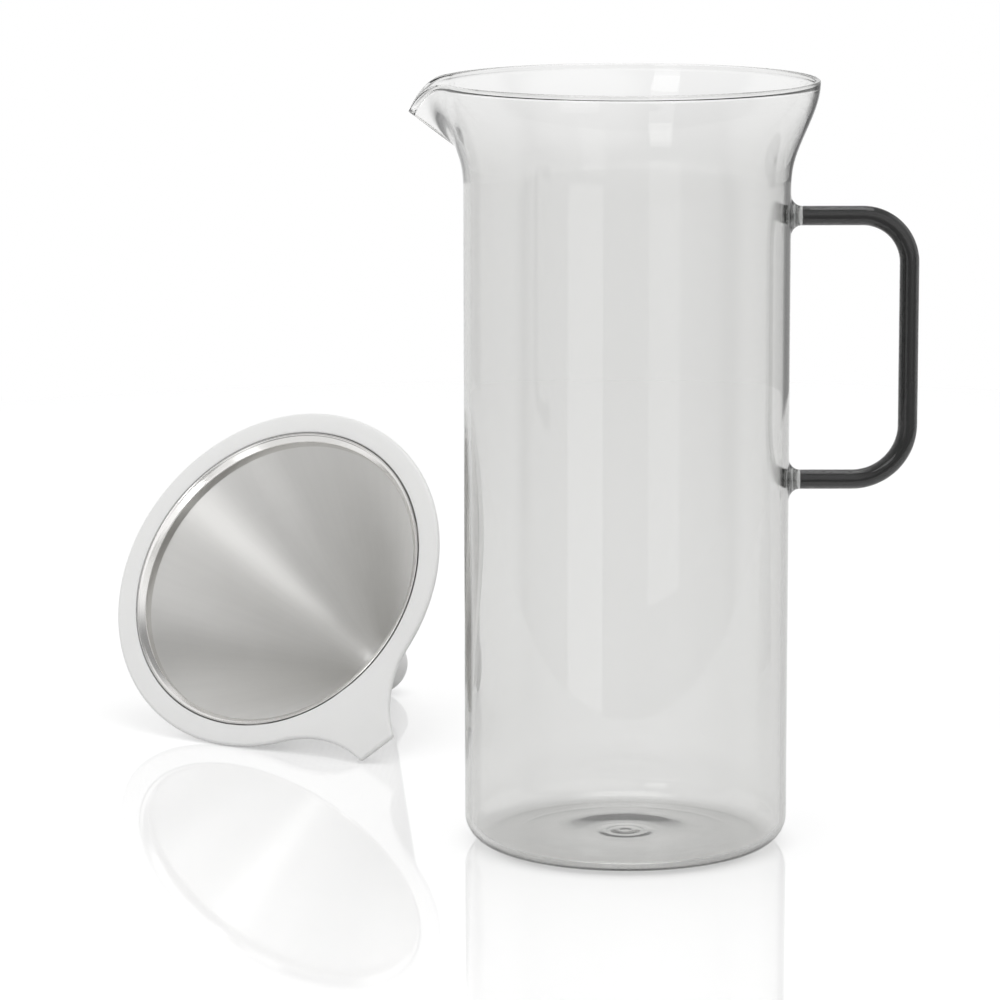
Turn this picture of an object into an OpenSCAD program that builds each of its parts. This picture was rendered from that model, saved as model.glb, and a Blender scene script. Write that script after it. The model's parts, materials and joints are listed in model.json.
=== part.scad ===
// Pour-over coffee maker: a glass carafe, and its steel cone filter lying beside it.
// The carafe stands on the XY plane with its axis on Z, its handle to +X and its spout to -X.

/* [Carafe] */
// Height from the table to the rim
carafe_h = 236.8; // [180:0.2:300]
// Outer diameter of the straight body
body_d = 100; // [85:0.5:110]
// Outer diameter of the rim
rim_d = 117.5; // [112:0.5:130]
// Thickness of the glass wall
glass_wall = 2; // [1.4:0.1:3]
// Thickness of the glass floor
floor_t = 3; // [2:0.1:6]
// Outer radius of the corner between wall and floor
base_corner_r = 8.6; // [5:0.1:14]
// How far the middle of the base is pushed up
base_kick = 1.8; // [0.5:0.1:5]
// Width of the flat ring that the carafe stands on
foot_ring_w = 7; // [3:0.5:15]
// Height of the flare below the rim
flare_h = 30.8; // [20:0.2:45]

/* [Spout] */
// Width of the spout where it leaves the rim
spout_w = 30; // [24:0.5:40]
// How far the tip reaches past the rim
spout_reach = 8.2; // [5:0.1:14]
// How far the tip hangs below the rim
spout_drop = 9.8; // [6:0.1:11]

/* [Handle] */
// Diameter of the handle's glass rod
rod_d = 6; // [4:0.1:9]
// Distance of the upper arm below the flare
handle_drop = 11; // [8:0.5:30]
// Height between the two arms
handle_span = 81.6; // [60:0.2:110]
// Distance from the wall to the middle of the upright bar
handle_reach = 36.4; // [28:0.2:50]
// Bend radius of the upper corner
top_bend_r = 14.5; // [8:0.5:22]
// Bend radius of the lower corner
bottom_bend_r = 17; // [8:0.5:22]
// Diameter of a weld at the wall
weld_d = 13; // [10:0.5:16]
// How far a weld stands out from the wall
weld_l = 3.4; // [2.5:0.1:6]

/* [Filter ring] */
// How far the flange overhangs the carafe's rim
ring_overhang = 3.1; // [1:0.1:8]
// Thickness of the flange and the tab
ring_t = 2.2; // [1.4:0.1:4]
// Gap between the skirt and the carafe's mouth
mouth_gap = 0.65; // [0.3:0.05:1.5]
// Thickness of the skirt
skirt_wall = 1.6; // [1:0.1:2.4]
// Depth of the skirt below the flange's top
skirt_h = 10; // [8:0.5:20]
// Length of the tab past the flange
tab_l = 19.5; // [12:0.5:30]
// Width of the tab between its concave sides
tab_w = 12.6; // [8:0.2:20]
// Radius of the concave sides that run the tab into the flange
tab_blend_r = 36; // [15:0.5:45]

/* [Cone] */
// Gap between the steel cone and the ring that it sits in
seat_gap = 0.4; // [0.3:0.05:0.8]
// Thickness of the polished collar
collar_t = 0.6; // [0.4:0.05:1]
// Height of the collar
collar_h = 5.6; // [4.5:0.1:9]
// How far the collar draws in from its top to its bottom edge
collar_draw = 2; // [1:0.1:3.5]
// How far the cone's layers lap over the collar's outside
collar_lap = 1.2; // [0.6:0.1:2]
// Thickness of the fine mesh
mesh_t = 0.3; // [0.2:0.05:0.5]
// Thickness of the perforated support
support_t = 0.5; // [0.3:0.05:0.8]
// Gap between the layers
layer_gap = 0.1; // [0.05:0.01:0.15]
// Depth of the cone below the flange's top
cone_h = 78; // [50:0.5:110]
// Inner diameter of the cone at its lower end
tip_d = 12.4; // [8:0.2:24]

/* [Tip cap] */
// Height of the cap
cap_h = 11.5; // [9:0.1:20]
// Length of cone that the cap takes in
cap_lap = 3; // [2:0.1:6]
// Thickness of the cap at its mouth
cap_wall = 0.9; // [0.6:0.1:2]
// Depth of the cup below the cone's end
cup_h = 3; // [1:0.1:3.4]
// Radius of the cap's lower corner
cap_corner_r = 5; // [2:0.1:6]

/* [Filter on the table] */
// Where the flange's middle lies, to the side of the carafe
filter_x = -115.9; // [-200:0.1:-100]
// Where the flange's middle lies, behind the carafe
filter_y = 158; // [100:0.1:240]
// How far the cone's tip turns to the right, seen from the front
filter_turn = 30.1; // [0:0.1:60]

/* [Hidden] */
$fn = 96;

smoke_glass = [0.78, 0.8, 0.79, 0.4];
dark_glass = [0.2, 0.2, 0.2, 0.85];
clear_glass = [0.86, 0.88, 0.87, 0.5];
white_silicone = [0.93, 0.93, 0.91];
bright_steel = [0.82, 0.82, 0.81];
satin_steel = [0.7, 0.7, 0.69];

// Steps of a round corner and of the flare's curve
corner_steps = 8;
flare_steps = 16;
// How far a cut runs past the face that it opens
cut_over = 1;

// Carafe
body_r = body_d / 2;
rim_r = rim_d / 2;
bead_r = glass_wall / 2;
flare_z = carafe_h - flare_h;
foot_out_r = body_r - base_corner_r;
foot_in_r = foot_out_r - foot_ring_w;
// The inner corner follows the outer one, and the rounded rim ends in a narrow flat top
inner_corner_r = base_corner_r - glass_wall;
rim_start_angle = 15;
rim_top_angle = 100;
rim_top_r = rim_r - bead_r + bead_r * cos(rim_top_angle);

function arc(middle, r, from, to, steps) = [
  for (i = [0:steps])
    let (a = from + (to - from) * i / steps)
    middle + r * [cos(a), sin(a)]
];

// The flare is a smooth step from the body's radius to the rim's
function flare_r(t) = body_r + (rim_r - body_r) * (3 * t * t - 2 * t * t * t);
function flare_slope(t) = (rim_r - body_r) * 6 * t * (1 - t) / flare_h;
function flare_point(t, inset) =
  [flare_r(t) - inset * sqrt(1 + pow(flare_slope(t), 2)), flare_z + t * (flare_h - bead_r)];

// The base rises in a shallow dome inside the foot ring
function kick_point(t, lift) = [foot_in_r * t, lift + base_kick * (1 - t * t)];

function outer_outline() = concat(
  [for (i = [0:corner_steps]) kick_point(i / corner_steps, 0)],
  arc([foot_out_r, base_corner_r], base_corner_r, -90, 0, corner_steps),
  [for (i = [0:flare_steps]) flare_point(i / flare_steps, 0)],
  arc([rim_r - bead_r, carafe_h - bead_r], bead_r, rim_start_angle, 90, corner_steps / 2),
  [[0, carafe_h]]
);

function inner_outline() = concat(
  [for (i = [0:corner_steps]) kick_point(i / corner_steps, floor_t)],
  arc([foot_out_r, floor_t + inner_corner_r], inner_corner_r, -90, 0, corner_steps),
  [for (i = [0:flare_steps]) flare_point(i / flare_steps, glass_wall)],
  arc(
    [rim_r - bead_r, carafe_h - bead_r], bead_r,
    180 - rim_start_angle, rim_top_angle, corner_steps / 2
  ),
  [[rim_top_r, carafe_h + cut_over], [0, carafe_h + cut_over]]
);

// The spout is a cone along X with its axis in the rim's plane.
// A plane that slopes down to the tip cuts it off.
spout_slope = (spout_w / 2 - spout_drop) / spout_reach;
spout_l = rim_r + spout_reach - body_r + glass_wall;
spout_angle = atan((spout_drop - bead_r) / spout_reach);
spout_box = 4 * spout_w;

module spout_cone(inset) {
  thin = inset * sqrt(1 + spout_slope * spout_slope);
  end_r = spout_drop - thin;
  translate([-rim_r - spout_reach, 0, carafe_h])
    rotate([0, 90, 0])
      cylinder(h = spout_l, r1 = end_r, r2 = end_r + spout_slope * spout_l);
}

module carafe_glass() {
  color(smoke_glass)
    difference() {
      union() {
        rotate_extrude() polygon(outer_outline());
        intersection() {
          spout_cone(0);
          translate([-spout_box, -spout_box / 2, carafe_h - bead_r / 2 - spout_box])
            cube(spout_box);
        }
      }
      rotate_extrude() polygon(inner_outline());
      spout_cone(glass_wall);
      translate([-rim_r, 0, carafe_h])
        rotate([0, -spout_angle, 0])
          translate([-spout_box, -spout_box / 2, 0])
            cube(spout_box);
    }
}

// Handle
rod_r = rod_d / 2;
upper_arm_z = flare_z - handle_drop;
lower_arm_z = upper_arm_z - handle_span;
bar_x = body_r + handle_reach;
arm_x = body_r + weld_l;

module arm(z, bend_r) {
  translate([arm_x, 0, z])
    rotate([0, 90, 0])
      cylinder(h = bar_x - bend_r - arm_x, r = rod_r);
}

module bend(middle_z, bend_r, from) {
  translate([bar_x - bend_r, 0, middle_z])
    rotate([90, 0, 0])
      rotate([0, 0, from])
        rotate_extrude(angle = 90)
          translate([bend_r, 0]) circle(r = rod_r);
}

module handle_rod() {
  color(dark_glass)
    union() {
      arm(upper_arm_z, top_bend_r);
      bend(upper_arm_z - top_bend_r, top_bend_r, 0);
      translate([bar_x, 0, lower_arm_z + bottom_bend_r])
        cylinder(h = handle_span - top_bend_r - bottom_bend_r, r = rod_r);
      bend(lower_arm_z + bottom_bend_r, bottom_bend_r, 270);
      arm(lower_arm_z, bottom_bend_r);
    }
}

// A weld is a trumpet round the arm's axis.
// A finely stepped circle cuts it to the wall that it is fused to.
weld_r = weld_d / 2;
weld_land = weld_l / 8;
wall_cut_steps = 720;

function weld_outline() = concat(
  [[0, -weld_r / 2], [weld_r, -weld_r / 2]],
  [
    for (i = [0:corner_steps])
      let (a = 90 * i / corner_steps)
      [weld_r - (weld_r - rod_r) * sin(a), weld_l - (weld_l - weld_land) * cos(a)]
  ],
  [[0, weld_l]]
);

module weld(z) {
  color(clear_glass)
    difference() {
      translate([body_r, 0, z])
        rotate([0, 90, 0])
          rotate_extrude() polygon(weld_outline());
      translate([0, 0, z - weld_d]) cylinder(h = 2 * weld_d, r = body_r, $fn = wall_cut_steps);
    }
}

module upper_weld() {
  weld(upper_arm_z);
}

module lower_weld() {
  weld(lower_arm_z);
}

// Filter: drawn upright as it hangs in the carafe, with the flange's top at Z = 0 and its tab to +X
ring_r = rim_r + ring_overhang;
skirt_r = rim_r - glass_wall - mouth_gap;
opening_r = skirt_r - skirt_wall;
collar_r = opening_r - seat_gap - collar_t;
collar_low_r = collar_r - collar_draw;
tip_r = tip_d / 2;

// The mesh runs from just outside the collar's lower edge to the tip
mesh_r = collar_low_r + collar_t + layer_gap;
cone_slope = (mesh_r - tip_r) / (cone_h - collar_h);
cone_top = collar_h - collar_lap;
support_in = mesh_t + layer_gap;
support_out = support_in + support_t;

function mesh_r_at(depth) = mesh_r + (collar_h - depth) * cone_slope;
function cone_point(depth, out) = [mesh_r_at(depth) + out, -depth];

module layer(from_depth, to_depth, inner, outer) {
  rotate_extrude()
    polygon([
      cone_point(from_depth, inner), cone_point(to_depth, inner),
      cone_point(to_depth, outer), cone_point(from_depth, outer)
    ]);
}

// The concave sides of the tab touch the flange's circle and the tab's own straight sides
tab_end = ring_r + tab_l;
blend_y = tab_w / 2 + tab_blend_r;
blend_x = sqrt(pow(ring_r + tab_blend_r, 2) - blend_y * blend_y);
touch = [blend_x, blend_y] * ring_r / (ring_r + tab_blend_r);
tab_end_w =
  blend_x > tab_end ? blend_y - sqrt(pow(tab_blend_r, 2) - pow(blend_x - tab_end, 2)) : tab_w / 2;

module tab_outline() {
  difference() {
    translate([touch.x, -touch.y]) square([tab_end - touch.x, 2 * touch.y]);
    for (side = [-1, 1])
      translate([blend_x, side * blend_y]) circle(r = tab_blend_r);
    for (side = [-1, 1])
      translate([blend_x, side * (tab_w + touch.y) / 2 - touch.y / 2])
        square([max(tab_end - blend_x, 0) + cut_over, touch.y]);
    circle(r = ring_r - ring_t);
  }
}

// Cap
cap_top = cone_h - cap_lap;
cap_bottom = cap_top + cap_h;
cap_in_r = mesh_r_at(cap_top) + support_out + layer_gap;
cap_r = cap_in_r + cap_wall;

// Lying down, the filter rests on its flange, its tab's corner and its cap.
// The lean is the angle at which flange and cap touch the table together.
edge_r = ring_t / 2;
lean_x = ring_r - edge_r - cap_r + cap_corner_r;
lean_y = cap_bottom - cap_corner_r - edge_r;
lean = acos((cap_corner_r - edge_r) / norm([lean_x, lean_y])) - atan2(lean_y, lean_x);
flange_z = (ring_r - edge_r) * cos(lean) + edge_r * sin(lean) + edge_r;
// The roll brings the tab's lower corner to the table
tab_corner_r = norm([tab_end, tab_end_w]);
tab_low = (flange_z - ring_t * sin(lean)) / cos(lean);
tab_roll = acos(tab_low / tab_corner_r) + asin(tab_end_w / tab_corner_r);

module lying() {
  translate([filter_x, filter_y, flange_z])
    rotate([0, 0, -filter_turn])
      rotate([90 - lean, 0, 0])
        rotate([0, 0, tab_roll - 90])
          children();
}

module filter_ring() {
  color(white_silicone)
    lying()
      union() {
        rotate_extrude() {
          translate([opening_r, -ring_t]) square([ring_r - edge_r - opening_r, ring_t]);
          translate([ring_r - edge_r, -edge_r]) circle(r = edge_r);
          polygon([
            [opening_r, 0], [opening_r, -cone_top], cone_point(cone_top, support_out + seat_gap),
            cone_point(skirt_h, support_out + seat_gap),
            cone_point(skirt_h, support_out + seat_gap + skirt_wall),
            [skirt_r, -cone_top], [skirt_r, 0]
          ]);
        }
        translate([0, 0, -ring_t])
          linear_extrude(height = ring_t) tab_outline();
      }
}

module rim_collar() {
  color(bright_steel)
    lying()
      rotate_extrude()
        polygon([
          [collar_r, 0], [collar_low_r, -collar_h],
          [collar_low_r + collar_t, -collar_h], [collar_r + collar_t, 0]
        ]);
}

module mesh_cone() {
  color(satin_steel)
    lying() layer(cone_top, cone_h, 0, mesh_t);
}

module support_cone() {
  color(satin_steel)
    lying() layer(cone_top, cone_h, support_in, support_out);
}

module tip_cap() {
  color(white_silicone)
    lying()
      rotate_extrude()
        difference() {
          union() {
            translate([0, -cap_bottom + cap_corner_r]) square([cap_r, cap_h - cap_corner_r]);
            translate([0, -cap_bottom]) square([cap_r - cap_corner_r, cap_h]);
            intersection() {
              translate([cap_r - cap_corner_r, -cap_bottom + cap_corner_r]) circle(r = cap_corner_r);
              translate([0, -cap_bottom]) square([cap_r, cap_h]);
            }
          }
          polygon([
            [0, -cap_top + cut_over], cone_point(cap_top - cut_over, support_out + layer_gap),
            cone_point(cone_h + layer_gap, support_out + layer_gap),
            [tip_r, -cone_h - layer_gap], [tip_r, -cone_h - cup_h], [0, -cone_h - cup_h]
          ]);
        }
}

carafe_glass();
handle_rod();
upper_weld();
lower_weld();
filter_ring();
rim_collar();
mesh_cone();
support_cone();
tip_cap();
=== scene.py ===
"""Smoke-glass pour-over carafe and its steel cone filter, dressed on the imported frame.

Sizes are in millimetres while a piece is shaped. Its finished mesh is in metres, in the part's frame.
"""

import json
import math

import bmesh
import bpy
from mathutils import Matrix, Vector


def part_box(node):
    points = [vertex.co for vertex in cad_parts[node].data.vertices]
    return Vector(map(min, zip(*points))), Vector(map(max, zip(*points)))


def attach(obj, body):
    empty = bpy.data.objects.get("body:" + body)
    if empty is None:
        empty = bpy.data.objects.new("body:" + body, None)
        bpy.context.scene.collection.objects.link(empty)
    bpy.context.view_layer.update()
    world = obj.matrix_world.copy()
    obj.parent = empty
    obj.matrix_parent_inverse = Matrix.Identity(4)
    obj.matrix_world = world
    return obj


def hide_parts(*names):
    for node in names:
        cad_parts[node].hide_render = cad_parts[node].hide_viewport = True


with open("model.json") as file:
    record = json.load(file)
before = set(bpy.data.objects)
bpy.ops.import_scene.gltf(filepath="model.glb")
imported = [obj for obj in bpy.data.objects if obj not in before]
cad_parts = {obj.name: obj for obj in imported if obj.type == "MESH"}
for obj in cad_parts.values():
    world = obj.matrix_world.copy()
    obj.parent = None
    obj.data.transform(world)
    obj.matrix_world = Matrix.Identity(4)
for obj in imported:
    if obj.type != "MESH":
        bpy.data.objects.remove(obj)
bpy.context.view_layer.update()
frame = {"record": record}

MM = 0.001
TO_METRES = Matrix.Scale(MM, 4)


# Sizes of the carafe, in millimetres
def node_corners(node):
    """Lowest and highest corner of a solid of the frame."""
    low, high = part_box(node)
    return low / MM, high / MM


carafe_low, carafe_high = node_corners("carafe_glass")
rod_low, rod_high = node_corners("handle_rod")

RIM_Z = carafe_high.z
RIM_R = carafe_high.y
BODY_R = 50.0
GLASS_WALL = 2.0
# The flare is drawn out thinner than the body
RIM_WALL = 0.8
BEAD_R = 0.8
FLOOR_T = 2.2
CORNER_R = 8.6
FOOT_RING_W = 7.0
BASE_KICK = 1.0
FLARE_H = 30.8
FLARE_SOFT = 0.14
FLARE_Z = RIM_Z - FLARE_H
FOOT_OUT_R = BODY_R - CORNER_R
FOOT_IN_R = FOOT_OUT_R - FOOT_RING_W
# The floor is a little thinner inside a soft step. Its middle has a boss, with a swirl in the glass
# under it
STEP_IN_R = 9.0
STEP_OUT_R = 24.0
STEP_H = 0.34
BOSS_R = 9.0
BOSS_H = 0.5
SWIRL_R = 7.0
SWIRL_H = 0.12
# The spout starts this far below the rim, and its sides leave the rim at this angle from its middle
SPOUT_H = 20.5
SPOUT_DROP = 9.5
SPOUT_HALF_ANGLE = math.radians(22)
SPOUT_TIP_ROUND = 0.1
SPOUT_PINCH = 1.9
SPOUT_NOSE = 1.8
SPOUT_REACH = -carafe_low.x - RIM_R
# Points round the carafe, and how much closer together they stand at the spout
AROUND = 320
SPOUT_CROWD = 0.75

# Sizes of the handle
ROD_D = 6.0
ROD_R = ROD_D / 2
BAR_X = rod_high.x - ROD_R
ARM_X = rod_low.x
UPPER_ARM_Z = rod_high.z - ROD_R
LOWER_ARM_Z = rod_low.z + ROD_R
TOP_BEND_R = 14.5
BOTTOM_BEND_R = 17.0
WELD_R = 6.5
# Glass pieces that are fused on the real carafe stay this far apart, so that light crosses each skin once
FUSE_GAP = 0.05

# Sizes of the filter, drawn upright: the flange's top is at Z = 0 and the tab points to +X
RING_R = RIM_R + 3.1
RING_T = 2.2
EDGE_R = RING_T / 2
SKIRT_R = RIM_R - GLASS_WALL - 0.65
SKIRT_WALL = 1.6
SKIRT_H = 10.0
OPENING_R = SKIRT_R - SKIRT_WALL
TAB_END = RING_R + 19.5
TAB_HALF_W = 6.3
TAB_BLEND_R = 36.0
TAB_CORNER_R = 1.4
SEAT_GAP = 0.4
COLLAR_T = 0.6
COLLAR_H = 5.6
COLLAR_R = OPENING_R - SEAT_GAP - COLLAR_T
COLLAR_DRAW = 2.0
COLLAR_LAP = 1.2
MESH_T = 0.3
SUPPORT_T = 0.5
HOLE_R = 0.7
HOLE_PITCH = 2.6
HOLE_ROW_STEP = HOLE_PITCH * math.sqrt(3) / 2
HOLE_MARGIN = 1.5
SEAM_HALF_W = 1.2 * HOLE_PITCH
LAYER_GAP = 0.1
CONE_H = 78.0
TIP_R = 6.2
CAP_H = 11.5
CAP_LAP = 3.0
CAP_WALL = 0.9
CUP_H = 3.0
DISH_H = 2.0
CAP_CORNER_R = 5.0
CUP_CORNER_R = 1.0
MOUNT_R = 59.0

CONE_TOP = COLLAR_H - COLLAR_LAP
MESH_R = COLLAR_R - COLLAR_DRAW + COLLAR_T + LAYER_GAP
CONE_SLOPE = (MESH_R - TIP_R) / (CONE_H - COLLAR_H)
CONE_ANGLE = math.atan(CONE_SLOPE)
SUPPORT_IN = MESH_T + LAYER_GAP
SUPPORT_OUT = SUPPORT_IN + SUPPORT_T
SKIRT_OFF = SUPPORT_OUT + SEAT_GAP


def cone_r(depth, out=0.0):
    """Radius of the mesh at a depth below the flange's top, or of a layer that lies further out."""
    return MESH_R + (COLLAR_H - depth) * CONE_SLOPE + out


CAP_TOP = CONE_H - CAP_LAP
CAP_BOTTOM = CAP_TOP + CAP_H
CAP_R = cone_r(CAP_TOP, SUPPORT_OUT + LAYER_GAP) + CAP_WALL


def lying_matrix():
    """Takes the upright filter to where it lies, from the flange's mount in the record."""
    mount = next(m for m in frame["record"]["mounts"] if m["name"] == "filter_flange")
    axis = Vector(mount["axis"]).normalized()
    uphill = (Vector((0, 0, 1)) - axis.z * axis).normalized()
    middle = Vector(mount["pos_m"]) / MM - MOUNT_R * uphill - RING_T * axis
    lean = math.asin(-axis.z)
    turn = math.atan2(axis.x, axis.y)
    # The tab's lower corner touches the table
    blend_y = TAB_HALF_W + TAB_BLEND_R
    blend_x = math.sqrt((RING_R + TAB_BLEND_R) ** 2 - blend_y ** 2)
    end_half = blend_y - math.sqrt(TAB_BLEND_R ** 2 - (blend_x - TAB_END) ** 2)
    corner = math.hypot(TAB_END, end_half)
    low = (middle.z - RING_T * math.sin(lean)) / math.cos(lean)
    roll = math.acos(low / corner) + math.asin(end_half / corner)
    return (
        Matrix.Translation(middle)
        @ Matrix.Rotation(-turn, 4, "Z")
        @ Matrix.Rotation(math.pi / 2 - lean, 4, "X")
        @ Matrix.Rotation(roll - math.pi / 2, 4, "Z")
    )


LYING = lying_matrix()


# Mesh tools
def arc(middle, radius, start, end, steps):
    """Points of a circle's arc in a plane, between two angles in degrees."""
    angles = [math.radians(start + (end - start) * i / steps) for i in range(steps + 1)]
    return [(middle[0] + radius * math.cos(a), middle[1] + radius * math.sin(a)) for a in angles]


def turned(profile, steps=256, crowd=0.0):
    """Rings of points round Z, one for each (radius, height) of the profile.

    With a crowd above 0, the points stand closer together near -X than elsewhere.
    """
    shares = [2 * k / steps - 1 for k in range(steps)]
    angles = [math.pi * (1 + (1 - crowd) * s + crowd * s ** 3) for s in shares]
    return [[Vector((r * math.cos(a), r * math.sin(a), z)) for a in angles] for r, z in profile]


def skin(rings, closed=False):
    """A closed mesh over rings of points. Rings that shrink to a point become poles."""
    bm = bmesh.new()
    rows = [[bm.verts.new(p) for p in ring] for ring in rings]
    following = rows[1:] + rows[:1] if closed else rows[1:]
    for row, after in zip(rows, following):
        for k in range(len(row)):
            n = (k + 1) % len(row)
            bm.faces.new((row[k], row[n], after[n], after[k]))
    bmesh.ops.remove_doubles(bm, verts=bm.verts, dist=0.0005)
    bmesh.ops.recalc_face_normals(bm, faces=bm.faces)
    return bm


def finished(name, bm, material, place=Matrix.Identity(4), sharp=None):
    """A piece's object at the origin, with its place in its mesh and its mesh in metres."""
    mesh = bpy.data.meshes.new(name)
    bm.to_mesh(mesh)
    bm.free()
    mesh.transform(TO_METRES @ place)
    mesh.materials.append(material)
    mesh.shade_smooth()
    if sharp is not None:
        mesh.set_sharp_from_angle(angle=math.radians(sharp))
    piece = bpy.data.objects.new(name, mesh)
    bpy.context.scene.collection.objects.link(piece)
    return piece


def dress(piece, node, body):
    """Hangs the piece on the empty of the body that it moves with, and hides the frame's solid that it
    stands for.
    """
    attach(piece, body)
    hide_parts(node)
    return piece


# Node tools
def add(tree, kind, inputs=None, **settings):
    """A node with its settings and its inputs, which are values or other nodes' outputs."""
    node = tree.nodes.new(kind)
    for key, value in settings.items():
        setattr(node, key, value)
    for key, value in (inputs or {}).items():
        socket = node.inputs[key]
        if isinstance(value, bpy.types.NodeSocket):
            tree.links.new(value, socket)
        else:
            socket.default_value = value
    return node


def calc(tree, operation, a, b=0.0):
    """The result of a Math node on two values or outputs."""
    return add(tree, "ShaderNodeMath", {0: a, 1: b}, operation=operation).outputs[0]


def ramp(tree, value, start, end, low, high):
    """A smooth change from one level to another while the value goes from its start to its end."""
    inputs = {0: value, 1: start, 2: end, 3: low, 4: high}
    return add(tree, "ShaderNodeMapRange", inputs, interpolation_type="SMOOTHSTEP").outputs[0]


def new_material(name):
    """An empty node material with its output."""
    material = bpy.data.materials.new(name)
    material.use_nodes = True
    tree = material.node_tree
    tree.nodes.clear()
    output = add(tree, "ShaderNodeOutputMaterial")
    return material, tree, output


# Materials
def glass(name, absorb, density, ior, wave_scale, wave_height):
    """Blown glass: clear and slightly wavy, tinted by its depth, and open to the light of the lamps."""
    material, tree, output = new_material(name)
    place = add(tree, "ShaderNodeTexCoord").outputs["Object"]
    stretched = add(tree, "ShaderNodeMapping", {"Vector": place, "Scale": wave_scale}).outputs[0]
    waves = add(tree, "ShaderNodeTexNoise", {"Vector": stretched, "Scale": 1.0, "Detail": 2.0})
    wavy = add(
        tree, "ShaderNodeBump", {"Height": waves.outputs["Fac"], "Strength": 1.0, "Distance": wave_height}
    )
    film = add(
        tree, "ShaderNodeMapRange",
        {"Value": waves.outputs["Fac"], "From Min": 0.3, "From Max": 0.7, "To Min": 0.0, "To Max": 0.012},
    )
    surface = add(
        tree, "ShaderNodeBsdfPrincipled",
        {
            "Base Color": (1, 1, 1, 1), "Roughness": film.outputs[0], "IOR": ior,
            "Transmission Weight": 1.0, "Normal": wavy.outputs[0],
        },
    )
    lamplight = add(tree, "ShaderNodeBsdfTransparent", {"Color": (0.93, 0.93, 0.93, 1)})
    shadow = add(tree, "ShaderNodeLightPath").outputs["Is Shadow Ray"]
    mixed = add(tree, "ShaderNodeMixShader", {0: shadow, 1: surface.outputs[0], 2: lamplight.outputs[0]})
    tint = add(tree, "ShaderNodeVolumeAbsorption", {"Color": absorb, "Density": density})
    tree.links.new(mixed.outputs[0], output.inputs["Surface"])
    tree.links.new(tint.outputs[0], output.inputs["Volume"])
    return material


def silicone(name, colour, shade):
    """Matte moulded silicone: milky, a little uneven in tone, with the mould's fine grain."""
    material, tree, output = new_material(name)
    place = add(tree, "ShaderNodeTexCoord").outputs["Object"]
    cloud = add(tree, "ShaderNodeTexNoise", {"Vector": place, "Scale": 45.0, "Detail": 3.0})
    grain = add(tree, "ShaderNodeTexNoise", {"Vector": place, "Scale": 2400.0, "Detail": 2.0})
    tone = add(
        tree, "ShaderNodeMix", {0: cloud.outputs["Fac"], 6: colour, 7: shade}, data_type="RGBA"
    )
    rough = add(
        tree, "ShaderNodeMapRange", {"Value": grain.outputs["Fac"], "To Min": 0.42, "To Max": 0.6}
    )
    bump = add(
        tree, "ShaderNodeBump", {"Height": grain.outputs["Fac"], "Strength": 0.12, "Distance": 0.0002}
    )
    surface = add(
        tree, "ShaderNodeBsdfPrincipled",
        {
            "Base Color": tone.outputs[2], "Roughness": rough.outputs[0], "Normal": bump.outputs[0],
            "IOR": 1.41, "Subsurface Weight": 0.35, "Subsurface Radius": (1.0, 1.0, 0.95),
            "Subsurface Scale": 0.0025, "Specular IOR Level": 0.35,
        },
    )
    tree.links.new(surface.outputs[0], output.inputs["Surface"])
    return material


def polished_steel(name):
    """Polished band: fine turning lines round the axis and faint smears."""
    material, tree, output = new_material(name)
    slope = add(tree, "ShaderNodeUVMap", uv_map="slope").outputs[0]
    lines = add(tree, "ShaderNodeMapping", {"Vector": slope, "Scale": (900.0, 6.0, 1.0)}).outputs[0]
    turning = add(tree, "ShaderNodeTexNoise", {"Vector": lines, "Scale": 1.0, "Detail": 2.0})
    place = add(tree, "ShaderNodeTexCoord").outputs["Object"]
    smear = add(tree, "ShaderNodeTexNoise", {"Vector": place, "Scale": 60.0, "Detail": 3.0})
    rough = add(
        tree, "ShaderNodeMapRange", {"Value": smear.outputs["Fac"], "To Min": 0.1, "To Max": 0.22}
    )
    bump = add(
        tree, "ShaderNodeBump", {"Height": turning.outputs["Fac"], "Strength": 0.06, "Distance": 0.0001}
    )
    surface = add(
        tree, "ShaderNodeBsdfPrincipled",
        {
            "Base Color": (0.8, 0.79, 0.775, 1), "Metallic": 1.0, "Roughness": rough.outputs[0],
            "Normal": bump.outputs[0],
        },
    )
    tree.links.new(surface.outputs[0], output.inputs["Surface"])
    return material


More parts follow.
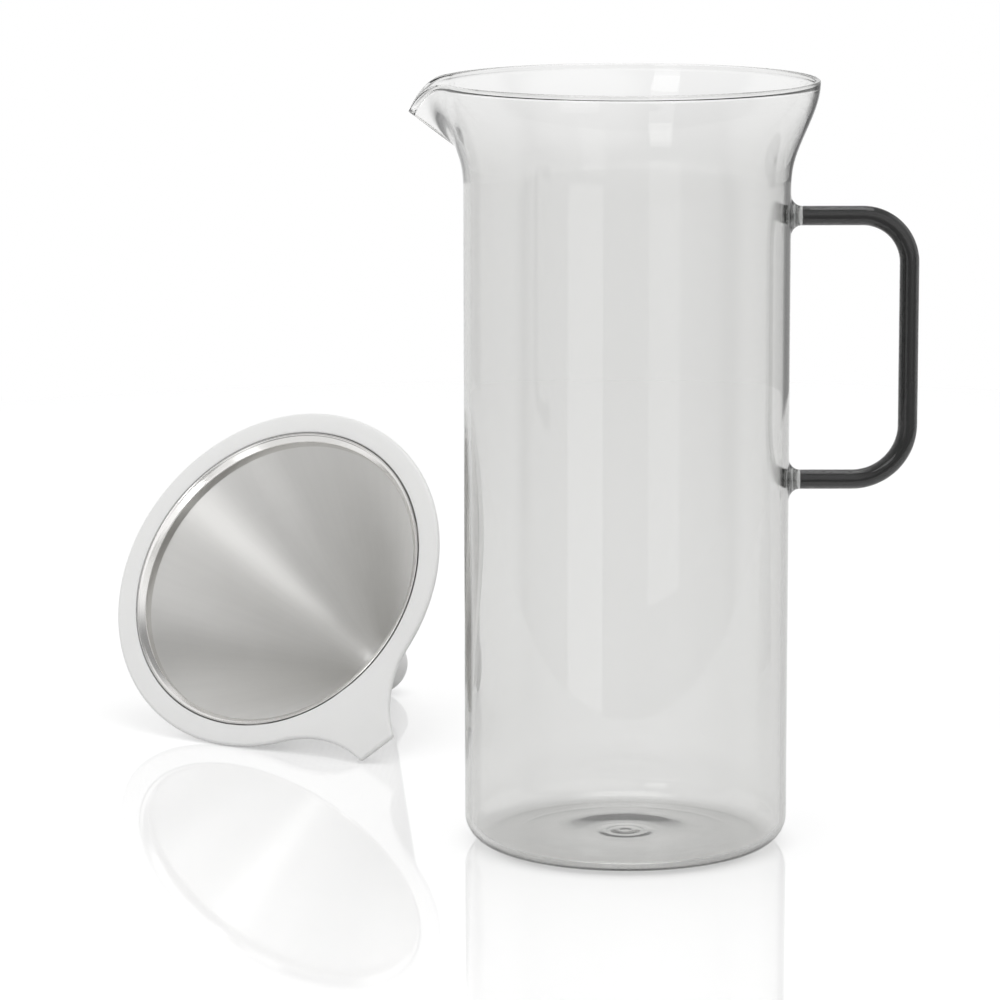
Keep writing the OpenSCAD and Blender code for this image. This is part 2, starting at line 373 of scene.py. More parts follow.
def satin_mesh(name, wire_pitch):
    """Fine woven wire: satin, with the wires' own bumps, drawn out round the cone."""
    material, tree, output = new_material(name)
    flat = add(tree, "ShaderNodeUVMap", uv_map="flat").outputs[0]
    turns = 2 * math.pi / wire_pitch
    sheet = add(tree, "ShaderNodeVectorMath", {0: flat, "Scale": turns}, operation="SCALE").outputs[0]
    axes = add(tree, "ShaderNodeSeparateXYZ", {0: sheet})
    warp = calc(tree, "SINE", axes.outputs["X"])
    weft = calc(tree, "SINE", axes.outputs["Y"])
    weave = calc(tree, "MULTIPLY", warp, weft)
    slope = add(tree, "ShaderNodeUVMap", uv_map="slope").outputs[0]
    drawn = add(tree, "ShaderNodeMapping", {"Vector": slope, "Scale": (1.5, 90.0, 1.0)}).outputs[0]
    streak = add(tree, "ShaderNodeTexNoise", {"Vector": drawn, "Scale": 1.0, "Detail": 4.0})
    tone = add(
        tree, "ShaderNodeMix",
        {0: streak.outputs["Fac"], 6: (0.82, 0.815, 0.8, 1), 7: (0.88, 0.875, 0.86, 1)}, data_type="RGBA",
    )
    rough = add(
        tree, "ShaderNodeMapRange", {"Value": streak.outputs["Fac"], "To Min": 0.38, "To Max": 0.46}
    )
    bump = add(tree, "ShaderNodeBump", {"Height": weave, "Strength": 0.12, "Distance": 0.00005})
    tangent = add(tree, "ShaderNodeTangent", direction_type="UV_MAP", uv_map="slope").outputs[0]
    surface = add(
        tree, "ShaderNodeBsdfPrincipled",
        {
            "Base Color": tone.outputs[2], "Metallic": 1.0, "Roughness": rough.outputs[0],
            "Anisotropic": 0.95, "Tangent": tangent, "Normal": bump.outputs[0],
        },
    )
    tree.links.new(surface.outputs[0], output.inputs["Surface"])
    return material


def perforated_steel(name):
    """Rolled sheet: brushed, with a soft cloudy sheen."""
    material, tree, output = new_material(name)
    place = add(tree, "ShaderNodeTexCoord").outputs["Object"]
    cloud = add(tree, "ShaderNodeTexNoise", {"Vector": place, "Scale": 70.0, "Detail": 3.0})
    grain = add(tree, "ShaderNodeMapping", {"Vector": place, "Scale": (2500.0, 2500.0, 120.0)}).outputs[0]
    brushed = add(tree, "ShaderNodeTexNoise", {"Vector": grain, "Scale": 1.0, "Detail": 2.0})
    tone = add(
        tree, "ShaderNodeMix",
        {0: cloud.outputs["Fac"], 6: (0.5, 0.5, 0.49, 1), 7: (0.6, 0.6, 0.59, 1)}, data_type="RGBA",
    )
    rough = add(
        tree, "ShaderNodeMapRange", {"Value": brushed.outputs["Fac"], "To Min": 0.25, "To Max": 0.42}
    )
    bump = add(
        tree, "ShaderNodeBump", {"Height": brushed.outputs["Fac"], "Strength": 0.08, "Distance": 0.0001}
    )
    surface = add(
        tree, "ShaderNodeBsdfPrincipled",
        {
            "Base Color": tone.outputs[2], "Metallic": 1.0, "Roughness": rough.outputs[0],
            "Normal": bump.outputs[0],
        },
    )
    tree.links.new(surface.outputs[0], output.inputs["Surface"])
    return material


GLASS_IOR = 1.47
SMOKE_GLASS = glass("smoke_glass", (0.5, 0.5, 0.48, 1), 165.0, GLASS_IOR, (34, 34, 7), 0.00006)
DARK_GLASS = glass("dark_glass", (0.1, 0.1, 0.1, 1), 720.0, GLASS_IOR, (25, 25, 25), 0.00003)
CLEAR_GLASS = glass("clear_glass", (0.2, 0.21, 0.2, 1), 200.0, GLASS_IOR, (40, 40, 40), 0.00003)
WHITE_SILICONE = silicone("white_silicone", (0.85, 0.85, 0.84, 1), (0.81, 0.81, 0.805, 1))
POLISHED_STEEL = polished_steel("polished_steel")
WIRE_PITCH = 0.0003
SATIN_MESH = satin_mesh("satin_mesh", WIRE_PITCH)
PERFORATED_STEEL = perforated_steel("perforated_steel")


# Carafe
def flare_r(z):
    """Outer radius of the body at a height: a smooth step from the straight wall to the rim."""
    t = (z - FLARE_Z) / (RIM_Z - BEAD_R - FLARE_Z)
    # The step is averaged over a short length, which shrinks to nothing at the rim
    reach = FLARE_SOFT * (1 - min(max(t, 0), 1))
    near = [min(max(t + reach * k / 6, 0), 1) for k in range(-6, 7)]
    return BODY_R + (RIM_R - BODY_R) * sum(3 * s * s - 2 * s ** 3 for s in near) / len(near)


def base_profile(lift, wall_r, corner_r, step, boss, swirl):
    """Floor from its middle to the wall, with its kick and its step, and a boss or a swirl in its middle."""
    steps = 64
    floor = []
    for i in range(steps + 1):
        r = FOOT_IN_R * i / steps
        kick = BASE_KICK * (1 - (i / steps) ** 2)
        t = min(max((r - STEP_IN_R) / (STEP_OUT_R - STEP_IN_R), 0), 1)
        bump = step * (3 * t * t - 2 * t ** 3 - 1)
        bump += boss * math.exp(-2 * (r / BOSS_R) ** 2)
        bump += swirl * math.cos(3 * math.pi * r / SWIRL_R) * math.exp(-((r / SWIRL_R) ** 2))
        floor.append((r, lift + kick + bump))
    return floor + arc((wall_r - corner_r, lift + corner_r), corner_r, -90, 0, 16)


def wall_profile(low, inset, rim_inset):
    """Wall from the base's corner to the rim's bead."""
    straight = [(BODY_R - inset, low + (FLARE_Z - low) * i / 5) for i in range(1, 5)]
    flare = []
    for i in range(-6, 37):
        z = FLARE_Z + (RIM_Z - BEAD_R - FLARE_Z) * i / 36
        slope = flare_r(z + 0.5) - flare_r(z - 0.5)
        thick = inset + (rim_inset - inset) * max(i, 0) / 36
        flare.append((flare_r(z) - thick * math.hypot(1, slope), z))
    return straight + flare


def spout_share(t):
    """Share of the spout's full pull across its width: long soft feet and a narrow round tip."""
    blunt = math.hypot(t, SPOUT_TIP_ROUND) - SPOUT_TIP_ROUND
    full = math.hypot(1, SPOUT_TIP_ROUND) - SPOUT_TIP_ROUND
    return max(1 - blunt / full, 0) ** SPOUT_PINCH


def pull_spout(point):
    """Moves a point of the flare out and down where the spout is pulled from it."""
    up = (point.z - RIM_Z + SPOUT_H) / SPOUT_H
    if up <= 0:
        return point
    up = min(up, 1)
    angle = math.atan2(point.y, -point.x)
    pull = spout_share(angle / (SPOUT_HALF_ANGLE * up ** 0.35))
    if pull == 0:
        return point
    start_z = RIM_Z - SPOUT_H
    start_r = flare_r(start_z)
    straight_r = start_r + (RIM_R + SPOUT_REACH - start_r) * up
    reach = (straight_r - flare_r(min(point.z, RIM_Z - BEAD_R))) * pull
    outward = Vector((point.x, point.y, 0)).normalized()
    return point + outward * reach - Vector((0, 0, SPOUT_DROP * up * pull ** SPOUT_NOSE))


def make_carafe():
    """Body of blown glass: floor, straight wall, flare, beaded rim and pulled spout."""
    inner_corner_r = CORNER_R - FLOOR_T
    outer = base_profile(0, BODY_R, CORNER_R, 0, 0, SWIRL_H) + wall_profile(CORNER_R, 0, 0)
    inside_r = BODY_R - GLASS_WALL
    inner = base_profile(FLOOR_T, inside_r, inner_corner_r, STEP_H, BOSS_H, 0)
    inner += wall_profile(FLOOR_T + inner_corner_r, GLASS_WALL, RIM_WALL)
    # The bead is a little thicker than the wall that it ends
    under = 360 - math.degrees(math.acos(1 - RIM_WALL / BEAD_R))
    bead = arc((RIM_R - BEAD_R, RIM_Z - BEAD_R), BEAD_R, 0, under, 16)[1:]
    inner = [p for p in inner if p[1] < bead[-1][1] - 0.3]
    rings = turned(outer + bead + inner[::-1], AROUND, SPOUT_CROWD)
    rings = [[pull_spout(p) for p in ring] for ring in rings]
    return finished("carafe", skin(rings), SMOKE_GLASS)


# Handle
def rod_tree():
    """Geometry Nodes that bend a rod along a polyline, with a radius of its own at each corner."""
    tree = bpy.data.node_groups.new("bent_rod", "GeometryNodeTree")
    sockets = tree.interface
    sockets.new_socket("Geometry", in_out="INPUT", socket_type="NodeSocketGeometry")
    for name in ("Rod Radius", "Top Bend", "Bottom Bend"):
        sockets.new_socket(name, in_out="INPUT", socket_type="NodeSocketFloat")
    for name in ("Sides", "Bend Steps"):
        sockets.new_socket(name, in_out="INPUT", socket_type="NodeSocketInt")
    sockets.new_socket("Material", in_out="INPUT", socket_type="NodeSocketMaterial")
    sockets.new_socket("Geometry", in_out="OUTPUT", socket_type="NodeSocketGeometry")
    given = add(tree, "NodeGroupInput").outputs
    line = add(tree, "GeometryNodeMeshToCurve", {0: given["Geometry"]})
    index = add(tree, "GeometryNodeInputIndex").outputs[0]
    lower = calc(tree, "GREATER_THAN", index, 1.5)
    longer = calc(tree, "SUBTRACT", given["Bottom Bend"], given["Top Bend"])
    radius = calc(tree, "ADD", given["Top Bend"], calc(tree, "MULTIPLY", lower, longer))
    bent = add(
        tree, "GeometryNodeFilletCurve",
        {"Curve": line.outputs[0], "Count": given["Bend Steps"], "Radius": radius}, mode="POLY",
    )
    section = add(
        tree, "GeometryNodeCurvePrimitiveCircle",
        {"Resolution": given["Sides"], "Radius": given["Rod Radius"]},
    )
    tube = add(
        tree, "GeometryNodeCurveToMesh",
        {"Curve": bent.outputs[0], "Profile Curve": section.outputs[0], "Fill Caps": True},
    )
    whole = add(tree, "GeometryNodeRealizeInstances", {0: tube.outputs[0]})
    clad = add(
        tree, "GeometryNodeSetMaterial", {"Geometry": whole.outputs[0], "Material": given["Material"]}
    )
    add(tree, "NodeGroupOutput", {0: clad.outputs[0]})
    return tree


def grown(name, bm, tree, values, material, place=Matrix.Identity(4), sharp=None):
    """A plain piece from a start mesh that a Geometry Nodes tree works on."""
    mesh = bpy.data.meshes.new(name + "_start")
    bm.to_mesh(mesh)
    bm.free()
    start = bpy.data.objects.new(name + "_start", mesh)
    bpy.context.scene.collection.objects.link(start)
    modifier = start.modifiers.new("shape", "NODES")
    modifier.node_group = tree
    inputs = {s.name: s.identifier for s in tree.interface.items_tree if s.in_out == "INPUT"}
    for key, value in values.items():
        modifier[inputs[key]] = value
    modifier[inputs["Material"]] = material
    graph = bpy.context.evaluated_depsgraph_get()
    made = bpy.data.meshes.new_from_object(start.evaluated_get(graph))
    bpy.data.objects.remove(start)
    made.name = name
    made.transform(TO_METRES @ place)
    made.shade_smooth()
    if sharp is not None:
        made.set_sharp_from_angle(angle=math.radians(sharp))
    piece = bpy.data.objects.new(name, made)
    bpy.context.scene.collection.objects.link(piece)
    return piece


def make_handle():
    """Bent rod of dark glass between the two welds."""
    bm = bmesh.new()
    start = ARM_X + FUSE_GAP
    corners = [(start, UPPER_ARM_Z), (BAR_X, UPPER_ARM_Z), (BAR_X, LOWER_ARM_Z), (start, LOWER_ARM_Z)]
    verts = [bm.verts.new((x, 0, z)) for x, z in corners]
    for a, b in zip(verts, verts[1:]):
        bm.edges.new((a, b))
    values = {
        "Rod Radius": ROD_R, "Top Bend": TOP_BEND_R, "Bottom Bend": BOTTOM_BEND_R,
        "Sides": 64, "Bend Steps": 32,
    }
    return grown("handle", bm, rod_tree(), values, DARK_GLASS, sharp=50)


def make_weld(name, arm_z):
    """Trumpet of clear glass from the wall to the rod's end."""
    steps, sides = 20, 96
    length = ARM_X - BODY_R
    profile = [(WELD_R * i / 8, 0) for i in range(9)]
    for i in range(1, steps + 1):
        a = math.pi / 2 * i / steps
        profile.append((WELD_R - (WELD_R - ROD_R) * math.sin(a), length * (1 - math.cos(a))))
    profile += [(ROD_R * i / 4, length) for i in (3, 2, 1, 0)]
    rings = []
    for r, out in profile:
        ring = []
        for k in range(sides):
            a = 2 * math.pi * k / sides
            y, z = r * math.cos(a), r * math.sin(a)
            wall = math.sqrt((BODY_R + FUSE_GAP) ** 2 - y * y)
            # The trumpet's foot follows the wall's curve, and its neck is square to the rod
            x = wall + (ARM_X - wall) * out / length
            ring.append(Vector((x, y, arm_z + z)))
        rings.append(ring)
    return finished(name, skin(rings), CLEAR_GLASS, sharp=50)


# Filter
def tab_outline():
    """Points of the flange's outline with the tab, each with its outward direction."""
    blend = Vector((0, TAB_HALF_W + TAB_BLEND_R))
    blend.x = math.sqrt((RING_R + TAB_BLEND_R) ** 2 - blend.y ** 2)
    corner = Vector((TAB_END - TAB_CORNER_R, 0))
    corner.y = blend.y - math.sqrt((TAB_BLEND_R + TAB_CORNER_R) ** 2 - (corner.x - blend.x) ** 2)
    meet = math.degrees(math.atan2(blend.y - corner.y, blend.x - corner.x))
    touch = math.degrees(math.atan2(blend.y, blend.x))
    half = []
    for a in range(0, 9):
        angle = math.radians(meet * a / 8)
        out = Vector((math.cos(angle), math.sin(angle)))
        half.append((corner + TAB_CORNER_R * out, out))
    for a in range(1, 25):
        angle = math.radians(meet + 180 + (touch - meet) * a / 24)
        out = Vector((math.cos(angle), math.sin(angle)))
        half.append((blend + TAB_BLEND_R * out, -out))
    for a in range(1, 97):
        angle = math.radians(touch + (180 - touch) * a / 96)
        out = Vector((math.cos(angle), math.sin(angle)))
        half.append((RING_R * out, out))
    mirrored = [(Vector((p.x, -p.y)), Vector((n.x, -n.y))) for p, n in half[-2::-1]]
    return half + mirrored


def make_ring():
    """Flange, tab and skirt as one loop of section points for each point of the outline."""
    lip_r, root_r = 0.5, 0.6
    lip = arc((OPENING_R + lip_r, -lip_r), lip_r, 180, 90, 5)
    root = arc((SKIRT_R + root_r, -RING_T - root_r), root_r, 90, 180, 5)
    toe_out, toe_in = cone_r(SKIRT_H, SKIRT_OFF + SKIRT_WALL), cone_r(SKIRT_H, SKIRT_OFF)
    toe_r = SKIRT_WALL / 2
    toe = arc(((toe_out + toe_in) / 2, -SKIRT_H + toe_r), toe_r, -20, -160, 8)
    skirt = root + [(SKIRT_R, -CONE_TOP)] + toe + [(cone_r(CONE_TOP, SKIRT_OFF), -CONE_TOP)]
    skirt += [(OPENING_R, -CONE_TOP + lip_r)]
    edge = arc((-EDGE_R, -EDGE_R), EDGE_R, 90, -90, 14)
    loops = []
    for point, out in tab_outline():
        spoke = point.normalized()
        loop = [(spoke * r, z) for r, z in lip]
        loop += [(point + out * r, z) for r, z in edge]
        loop += [(spoke * r, z) for r, z in skirt]
        loops.append([Vector((p.x, p.y, z)) for p, z in loop])
    return finished("silicone_ring", skin(loops, closed=True), WHITE_SILICONE, LYING)


def add_cone_maps(piece):
    """Two maps for the steel layers: depth against turns round the axis, and the sheet laid flat."""
    mesh = piece.data
    upright = (TO_METRES @ LYING).inverted()
    local = [upright @ v.co for v in mesh.vertices]
    slope = mesh.uv_layers.new(name="slope")
    flat = mesh.uv_layers.new(name="flat")
    share = math.sin(CONE_ANGLE)
    apex = -COLLAR_H - MESH_R / CONE_SLOPE
    for face in mesh.polygons:
        angles = [math.atan2(local[v].y, local[v].x) for v in face.vertices]
        if max(angles) - min(angles) > math.pi:
            angles = [a + 2 * math.pi if a < 0 else a for a in angles]
        for corner, vert, angle in zip(face.loop_indices, face.vertices, angles):
            slant = math.hypot(math.hypot(local[vert].x, local[vert].y), local[vert].z - apex) * MM
            slope.data[corner].uv = (-local[vert].z / CONE_H, angle / (2 * math.pi))
            flat.data[corner].uv = (slant * math.cos(angle * share), slant * math.sin(angle * share))


def make_collar():
    """Polished band: flared towards the flange, straight where it grips the mesh."""
    bend_r = 1.0
    flare = COLLAR_DRAW - bend_r * (1 - math.cos(math.pi / 4))
    inside = [(COLLAR_R - flare * i / 6, -flare * i / 6) for i in range(7)]
    bend = (COLLAR_R - COLLAR_DRAW + bend_r, -flare - bend_r * math.sin(math.pi / 4))
    inside += arc(bend, bend_r, 135, 180, 6)[1:]
    inside.append((COLLAR_R - COLLAR_DRAW, -COLLAR_H))
    outside = [(r + COLLAR_T, z) for r, z in inside[::-1]]
    roll = arc((COLLAR_R + COLLAR_T / 2, -COLLAR_T / 2), COLLAR_T / 2, 20, 160, 8)
    rings = turned(inside[1:] + outside[:-1] + roll)
    piece = finished("polished_collar", skin(rings, closed=True), POLISHED_STEEL, LYING, sharp=50)
    add_cone_maps(piece)
    return piece


def layer_profile(inner, outer, steps):
    """Inside and outside of one of the cone's layers from its top down, as (radius, height)."""
    depths = [CONE_TOP + (CONE_H - CONE_TOP) * i / steps for i in range(steps + 1)]
    return [(cone_r(d, inner), -d) for d in depths], [(cone_r(d, outer), -d) for d in depths]


def make_mesh_cone():
    """Cone of fine mesh whose end is a shallow dish in the cap."""
    inside, outside = layer_profile(0, MESH_T, 24)
    dish = [(TIP_R * (6 - i) / 6, DISH_H * (1 - ((6 - i) / 6) ** 2)) for i in range(1, 7)]
    inside += [(r, -CONE_H - fall) for r, fall in dish]
    outside += [(r, -CONE_H - MESH_T - fall) for r, fall in dish]
    rings = turned(inside[::-1] + outside)
    piece = finished("fine_mesh", skin(rings), SATIN_MESH, LYING, sharp=50)
    add_cone_maps(piece)
    return piece


def punch_tree():
    """Geometry Nodes that punch a rolled cone with the holes of a flat staggered sheet.

    The holes are laid out on the flat sheet round the cone's apex, then rolled up with it. A plain
    margin stays along the sheet's two edges and along its seam.
    """
    tree = bpy.data.node_groups.new("punched_cone", "GeometryNodeTree")
    sockets = tree.interface
    sockets.new_socket("Geometry", in_out="INPUT", socket_type="NodeSocketGeometry")
    lengths = ("Hole Radius", "Pitch", "Punch Depth", "Apex Z", "First Row", "Last Row", "Seam")
    for name in lengths + ("Half Angle",):
        sockets.new_socket(name, in_out="INPUT", socket_type="NodeSocketFloat")
    for name in ("Columns", "Rows", "Hole Sides"):
        sockets.new_socket(name, in_out="INPUT", socket_type="NodeSocketInt")
    sockets.new_socket("Material", in_out="INPUT", socket_type="NodeSocketMaterial")
    sockets.new_socket("Geometry", in_out="OUTPUT", socket_type="NodeSocketGeometry")
    given = add(tree, "NodeGroupInput").outputs

    # Staggered grid on the flat sheet
    row_step = calc(tree, "MULTIPLY", given["Pitch"], math.sqrt(3) / 2)
    grid = add(
        tree, "GeometryNodeMeshGrid",
        {
            "Size X": calc(tree, "MULTIPLY", given["Pitch"], calc(tree, "SUBTRACT", given["Columns"], 1)),
            "Size Y": calc(tree, "MULTIPLY", row_step, calc(tree, "SUBTRACT", given["Rows"], 1)),
            "Vertices X": given["Columns"], "Vertices Y": given["Rows"],
        },
    )
    place = add(tree, "GeometryNodeInputPosition").outputs[0]
    on_sheet = add(tree, "ShaderNodeSeparateXYZ", {0: place}).outputs
    row = calc(tree, "ROUND", calc(tree, "DIVIDE", on_sheet["Y"], row_step))
    odd = calc(tree, "FLOORED_MODULO", row, 2)
    shift = calc(tree, "MULTIPLY", calc(tree, "MULTIPLY", odd, 0.5), given["Pitch"])
    staggered = add(
        tree, "GeometryNodeSetPosition",
        {"Geometry": grid.outputs[0], "Offset": add(tree, "ShaderNodeCombineXYZ", {0: shift}).outputs[0]},
    )

    # Holes outside the sheet's margins go
    slant = add(tree, "ShaderNodeVectorMath", {0: place}, operation="LENGTH").outputs["Value"]
    bearing = calc(tree, "ARCTAN2", on_sheet["Y"], on_sheet["X"])
    narrow = calc(tree, "SINE", given["Half Angle"])
    half_sheet = calc(tree, "MULTIPLY", narrow, math.pi)
    seam_bearing = calc(tree, "SUBTRACT", half_sheet, calc(tree, "DIVIDE", given["Seam"], slant))
    too_low = calc(tree, "LESS_THAN", slant, given["First Row"])
    too_high = calc(tree, "GREATER_THAN", slant, given["Last Row"])
    on_seam = calc(tree, "GREATER_THAN", calc(tree, "ABSOLUTE", bearing), seam_bearing)
    outside = calc(tree, "ADD", calc(tree, "ADD", too_low, too_high), on_seam)
    kept = add(tree, "GeometryNodeDeleteGeometry", {"Geometry": staggered.outputs[0], "Selection": outside})

    # The flat sheet is rolled up
    turn = calc(tree, "DIVIDE", bearing, narrow)
    rise = calc(tree, "COSINE", given["Half Angle"])
    radius = calc(tree, "MULTIPLY", slant, narrow)
    rolled = add(
        tree, "ShaderNodeCombineXYZ",
        {
            0: calc(tree, "MULTIPLY", radius, calc(tree, "COSINE", turn)),
            1: calc(tree, "MULTIPLY", radius, calc(tree, "SINE", turn)),
            2: calc(tree, "ADD", given["Apex Z"], calc(tree, "MULTIPLY", slant, rise)),
        },
    )
    on_cone = add(
        tree, "GeometryNodeSetPosition", {"Geometry": kept.outputs[0], "Position": rolled.outputs[0]}
    )

    # A punch stands square to the cone at each hole
    rolled_place = add(tree, "ShaderNodeSeparateXYZ", {0: place}).outputs
    spin = calc(tree, "ARCTAN2", rolled_place["Y"], rolled_place["X"])
    square = add(
        tree, "ShaderNodeCombineXYZ",
        {
            0: calc(tree, "MULTIPLY", rise, calc(tree, "COSINE", spin)),
            1: calc(tree, "MULTIPLY", rise, calc(tree, "SINE", spin)),
            2: calc(tree, "MULTIPLY", narrow, -1.0),
        },
    )
    aim = add(tree, "FunctionNodeAlignRotationToVector", {"Vector": square.outputs[0]}, axis="Z")
    punch = add(
        tree, "GeometryNodeMeshCylinder",
        {"Vertices": given["Hole Sides"], "Radius": given["Hole Radius"], "Depth": given["Punch Depth"]},
    )
    punches = add(
        tree, "GeometryNodeInstanceOnPoints",
        {"Points": on_cone.outputs[0], "Instance": punch.outputs[0], "Rotation": aim.outputs[0]},
    )
    cutters = add(tree, "GeometryNodeRealizeInstances", {0: punches.outputs[0]})
    cut = add(
        tree, "GeometryNodeMeshBoolean",
        {"Mesh 1": given["Geometry"], "Mesh 2": cutters.outputs[0]},
        operation="DIFFERENCE", solver="MANIFOLD",
    )
    whole = add(tree, "GeometryNodeRealizeInstances", {0: cut.outputs[0]})
    clad = add(
        tree, "GeometryNodeSetMaterial", {"Geometry": whole.outputs[0], "Material": given["Material"]}
    )
    add(tree, "NodeGroupOutput", {0: clad.outputs[0]})
    return tree


def make_support_cone():
    """Punched sheet that backs the mesh."""
    top_depth, low_depth = SKIRT_H + HOLE_MARGIN, CAP_TOP - HOLE_MARGIN
    middle = (SUPPORT_IN + SUPPORT_OUT) / 2
    apex_depth = COLLAR_H + (MESH_R + middle) / CONE_SLOPE
    rise = math.cos(CONE_ANGLE)
    first, last = (apex_depth - low_depth) / rise, (apex_depth - top_depth) / rise
    columns = 2 * math.ceil(last / HOLE_PITCH) + 1
    rows = 2 * math.ceil(last / HOLE_ROW_STEP) + 1
    values = {
        "Hole Radius": HOLE_R, "Pitch": HOLE_PITCH, "Punch Depth": 6 * SUPPORT_T,
        "Half Angle": CONE_ANGLE, "Apex Z": -apex_depth, "First Row": first, "Last Row": last,
        "Seam": SEAM_HALF_W, "Columns": columns, "Rows": rows, "Hole Sides": 8,
    }
    inside, outside = layer_profile(SUPPORT_IN, SUPPORT_OUT, 6)
    sheet = skin(turned(inside + outside[::-1], 192), closed=True)
    return grown("perforated_cone", sheet, punch_tree(), values, PERFORATED_STEEL, LYING, sharp=35)


def make_cap():
    """Cup that closes the cone's end, with soft edges."""
    lip_r = CAP_WALL / 3
    socket_out = SUPPORT_OUT + LAYER_GAP
    profile = [(0, -CAP_BOTTOM)]
    profile += arc((CAP_R - CAP_CORNER_R, -CAP_BOTTOM + CAP_CORNER_R), CAP_CORNER_R, -90, 0, 16)
    profile += arc((CAP_R - lip_r, -CAP_TOP - lip_r), lip_r, 0, 90, 5)
    profile += [(cone_r(CAP_TOP, socket_out) + lip_r, -CAP_TOP)]
    profile += [(cone_r(CAP_TOP + lip_r, socket_out), -CAP_TOP - lip_r)]
    profile += [(cone_r(CONE_H + LAYER_GAP, socket_out), -CONE_H - LAYER_GAP)]
    profile += arc((TIP_R + lip_r, -CONE_H - LAYER_GAP - lip_r), lip_r, 90, 180, 5)
    profile += arc((TIP_R - CUP_CORNER_R, -CONE_H - CUP_H + CUP_CORNER_R), CUP_CORNER_R, 0, -90, 6)
    profile += [(0, -CONE_H - CUP_H)]
    return finished("tip_cap_cup", skin(turned(profile, 128)), WHITE_SILICONE, LYING, sharp=50)


dress(make_carafe(), "carafe_glass", "carafe")
dress(make_handle(), "handle_rod", "carafe")
dress(make_weld("upper_glass_weld", UPPER_ARM_Z), "upper_weld", "carafe")
dress(make_weld("lower_glass_weld", LOWER_ARM_Z), "lower_weld", "carafe")
dress(make_ring(), "filter_ring", "filter_holder")
dress(make_collar(), "rim_collar", "filter_cone")
dress(make_mesh_cone(), "mesh_cone", "filter_cone")
dress(make_support_cone(), "support_cone", "filter_cone")
dress(make_cap(), "tip_cap", "filter_cone")


# Stage
AMBIENT = 0.68
ROOM = 0.34
WINDOW_WAY = Vector((0.45, -0.75, 0.48)).normalized()
WINDOW_LEVEL = 1.2
DARK_STRIP = 0.35
TABLE_R = 0.62
TABLE_Y = 0.35
FRONT_GLOW = 0.46
FAR_GLOW = 0.42
CONTACT_REACH = 0.008
CONTACT_SHADE = 0.75
TABLE_GLOSS = 0.25
LENS_MM = 174.24
SENSOR_MM = 36
CAMERA_PLACE = Vector((-38.93, -1470, 363.6)) * MM
CAMERA_DOWN = 9.9
CAMERA_ROLL = -0.1


def make_world():
    """White to the camera. Glass and reflections see a white backdrop, a dim room and a bright window."""
    world = bpy.data.worlds.new("studio")
    bpy.context.scene.world = world
    world.use_nodes = True
    tree = world.node_tree
    tree.nodes.clear()
    path = add(tree, "ShaderNodeLightPath").outputs
    seen = calc(tree, "MAXIMUM", path["Is Glossy Ray"], path["Is Transmission Ray"])
    way = add(tree, "ShaderNodeTexCoord").outputs["Generated"]
    axes = add(tree, "ShaderNodeSeparateXYZ", {0: way}).outputs
    toward = add(tree, "ShaderNodeVectorMath", {0: way, 1: WINDOW_WAY}, operation="DOT_PRODUCT")
    window = ramp(tree, toward.outputs["Value"], 0.7, 0.95, ROOM, WINDOW_LEVEL)
    behind = ramp(tree, axes["Y"], -0.35, 0.05, 0.0, 1.0)
    # A dark strip in the backdrop's right half draws that edge of the glass
    left_of_strip = ramp(tree, axes["X"], 0.1, 0.32, 1.0, DARK_STRIP)
    right_of_strip = ramp(tree, axes["X"], 0.5, 0.65, DARK_STRIP, 1.0)
    backdrop = calc(tree, "MULTIPLY", behind, calc(tree, "MAXIMUM", left_of_strip, right_of_strip))
    # Clear glass sees a white floor in front of the table
    low = ramp(tree, axes["Z"], -0.1, 0.1, 1.0, 0.0)
    below = calc(tree, "MULTIPLY", low, path["Is Transmission Ray"])
    floor = calc(tree, "MULTIPLY", below, calc(tree, "SUBTRACT", 1.0, behind))
    room = calc(tree, "MAXIMUM", calc(tree, "MAXIMUM", window, backdrop), floor)
    bounced = add(tree, "ShaderNodeMix", {0: seen, 2: AMBIENT, 3: room}).outputs[0]
    level = calc(tree, "MAXIMUM", path["Is Camera Ray"], bounced)
    light = add(tree, "ShaderNodeBackground", {"Color": (1, 1, 1, 1), "Strength": level})
    output = add(tree, "ShaderNodeOutputWorld")
    tree.links.new(light.outputs[0], output.inputs["Surface"])


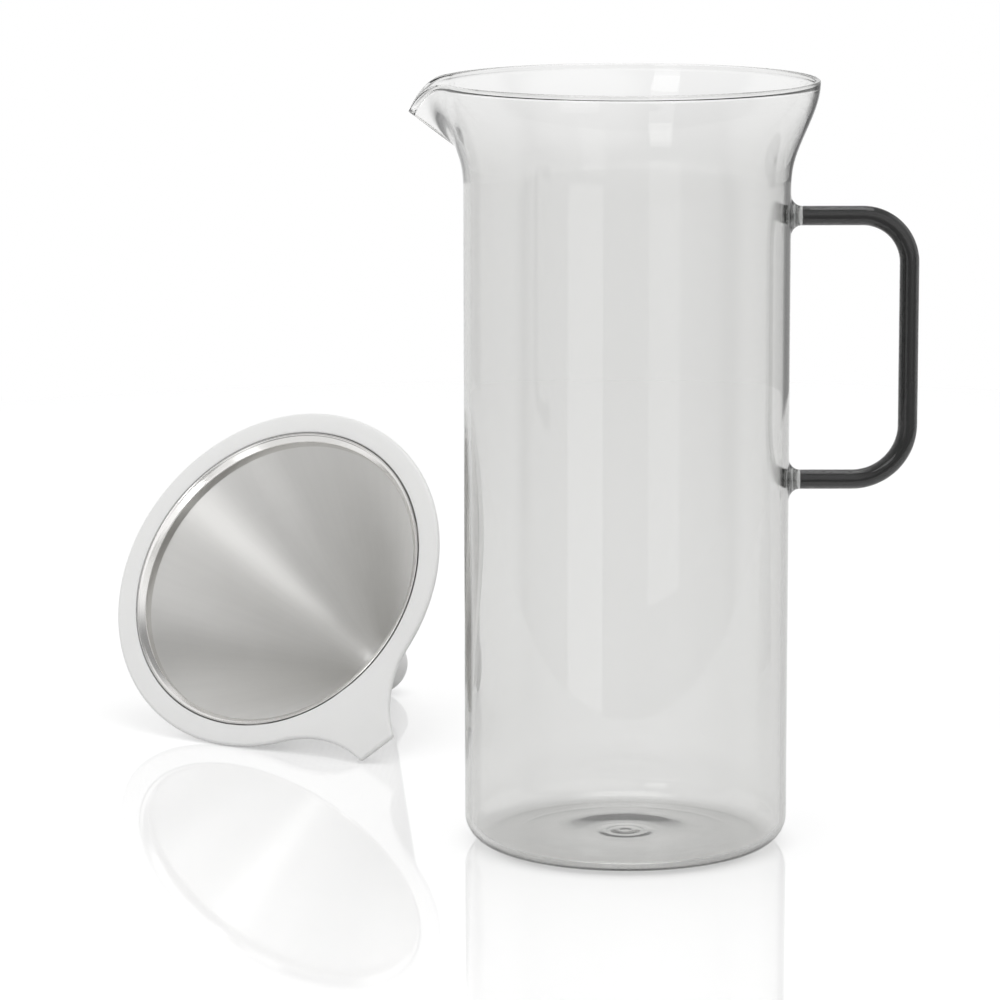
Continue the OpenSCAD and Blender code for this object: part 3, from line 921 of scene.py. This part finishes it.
def make_table():
    """Round glossy white table, with a painted contact shadow in its glow."""
    material, tree, output = new_material("white_table")
    place = add(tree, "ShaderNodeTexCoord").outputs["Object"]
    cloud = add(tree, "ShaderNodeTexNoise", {"Vector": place, "Scale": 3.0})
    tone = add(
        tree, "ShaderNodeMix",
        {0: cloud.outputs["Fac"], 6: (0.52, 0.52, 0.52, 1), 7: (0.54, 0.54, 0.54, 1)}, data_type="RGBA",
    )
    white = add(tree, "ShaderNodeBsdfDiffuse", {"Color": tone.outputs[2]})
    gloss = add(tree, "ShaderNodeBsdfGlossy", {"Color": (1, 1, 1, 1), "Roughness": 0.04})
    top = add(tree, "ShaderNodeMixShader", {0: TABLE_GLOSS, 1: white.outputs[0], 2: gloss.outputs[0]})
    path = add(tree, "ShaderNodeLightPath").outputs
    looking = calc(tree, "MAXIMUM", path["Is Camera Ray"], path["Is Transmission Ray"])
    looking = calc(tree, "MAXIMUM", looking, path["Is Glossy Ray"])
    # The front is further from the lamps, and the far edge is as bright as the backdrop behind it
    away = add(tree, "ShaderNodeSeparateXYZ", {0: place}).outputs["Y"]
    filled = calc(tree, "MULTIPLY", looking, ramp(tree, away, -0.1, 0.25, FRONT_GLOW, FAR_GLOW))
    # Painted contact shadow: the glow is darker at the places that a piece stands close above
    opening = add(tree, "ShaderNodeAmbientOcclusion", {"Distance": CONTACT_REACH}).outputs["AO"]
    filled = calc(tree, "MULTIPLY", filled, ramp(tree, opening, 0.0, 1.0, CONTACT_SHADE, 1.0))
    glow = add(tree, "ShaderNodeEmission", {"Strength": filled})
    lit = add(tree, "ShaderNodeAddShader", {0: top.outputs[0], 1: glow.outputs[0]})
    tree.links.new(lit.outputs[0], output.inputs["Surface"])
    bm = bmesh.new()
    bmesh.ops.create_circle(bm, cap_ends=True, segments=128, radius=TABLE_R / MM)
    finished("table", bm, material, Matrix.Translation((0, TABLE_Y / MM, -FUSE_GAP)))


def softbox(name, place, target, width, height, level):
    """Rectangular soft lamp whose face has this brightness, where 1 is white."""
    light = bpy.data.lights.new(name, "AREA")
    light.shape = "RECTANGLE"
    light.size = width
    light.size_y = height
    light.energy = 4 * level * width * height
    lamp = bpy.data.objects.new(name, light)
    lamp.location = place
    lamp.rotation_euler = (Vector(target) - Vector(place)).to_track_quat("-Z", "Y").to_euler()
    lamp.visible_camera = False
    bpy.context.scene.collection.objects.link(lamp)


def flag(lamp_name, piece_names, state="EXCLUDE"):
    """Keeps a lamp off some pieces, as a black flag does in a studio, or on those pieces alone."""
    marked = bpy.data.collections.new(lamp_name + "_flag")
    for name in piece_names:
        marked.objects.link(bpy.data.objects[name])
    for member in marked.collection_objects:
        member.light_linking.link_state = state
    bpy.data.objects[lamp_name].light_linking.receiver_collection = marked


def make_camera():
    """Long lens in front, a little above the carafe's rim."""
    lens = bpy.data.cameras.new("camera")
    lens.sensor_width = SENSOR_MM
    lens.lens = LENS_MM
    camera = bpy.data.objects.new("camera", lens)
    pitch, roll = math.radians(90 - CAMERA_DOWN), math.radians(CAMERA_ROLL)
    turn = Matrix.Rotation(pitch, 4, "X") @ Matrix.Rotation(roll, 4, "Z")
    camera.matrix_world = Matrix.Translation(CAMERA_PLACE) @ turn
    bpy.context.scene.collection.objects.link(camera)
    bpy.context.scene.camera = camera


make_world()
make_table()
KEY_PLACE = (-0.62, -1.2, 0.84)
KEY_TARGET = (-0.06, 0.06, 0.15)
softbox("key_softbox", KEY_PLACE, KEY_TARGET, 0.42, 0.8, 2.1)
softbox("glint_softbox", KEY_PLACE, KEY_TARGET, 0.42, 0.7, 1.3)
softbox("low_softbox", (0.2, -1.45, -0.01), (-0.116, 0.158, 0.053), 0.4, 0.25, 5.0)
softbox("left_softbox", (-0.76, -1.29, -0.2), (0, 0, -0.2), 0.66, 0.7, 0.55)
softbox("top_softbox", (0.0, 0.1, 1.4), (0, 0.1, 0), 0.9, 0.9, 1.5)
flag("top_softbox", ["fine_mesh", "polished_collar"])
flag("left_softbox", ["fine_mesh"])
flag("low_softbox", ["carafe", "handle"])
flag("key_softbox", ["carafe"])
flag("glint_softbox", ["carafe"], "INCLUDE")
make_camera()
bpy.context.scene.view_settings.view_transform = "Standard"
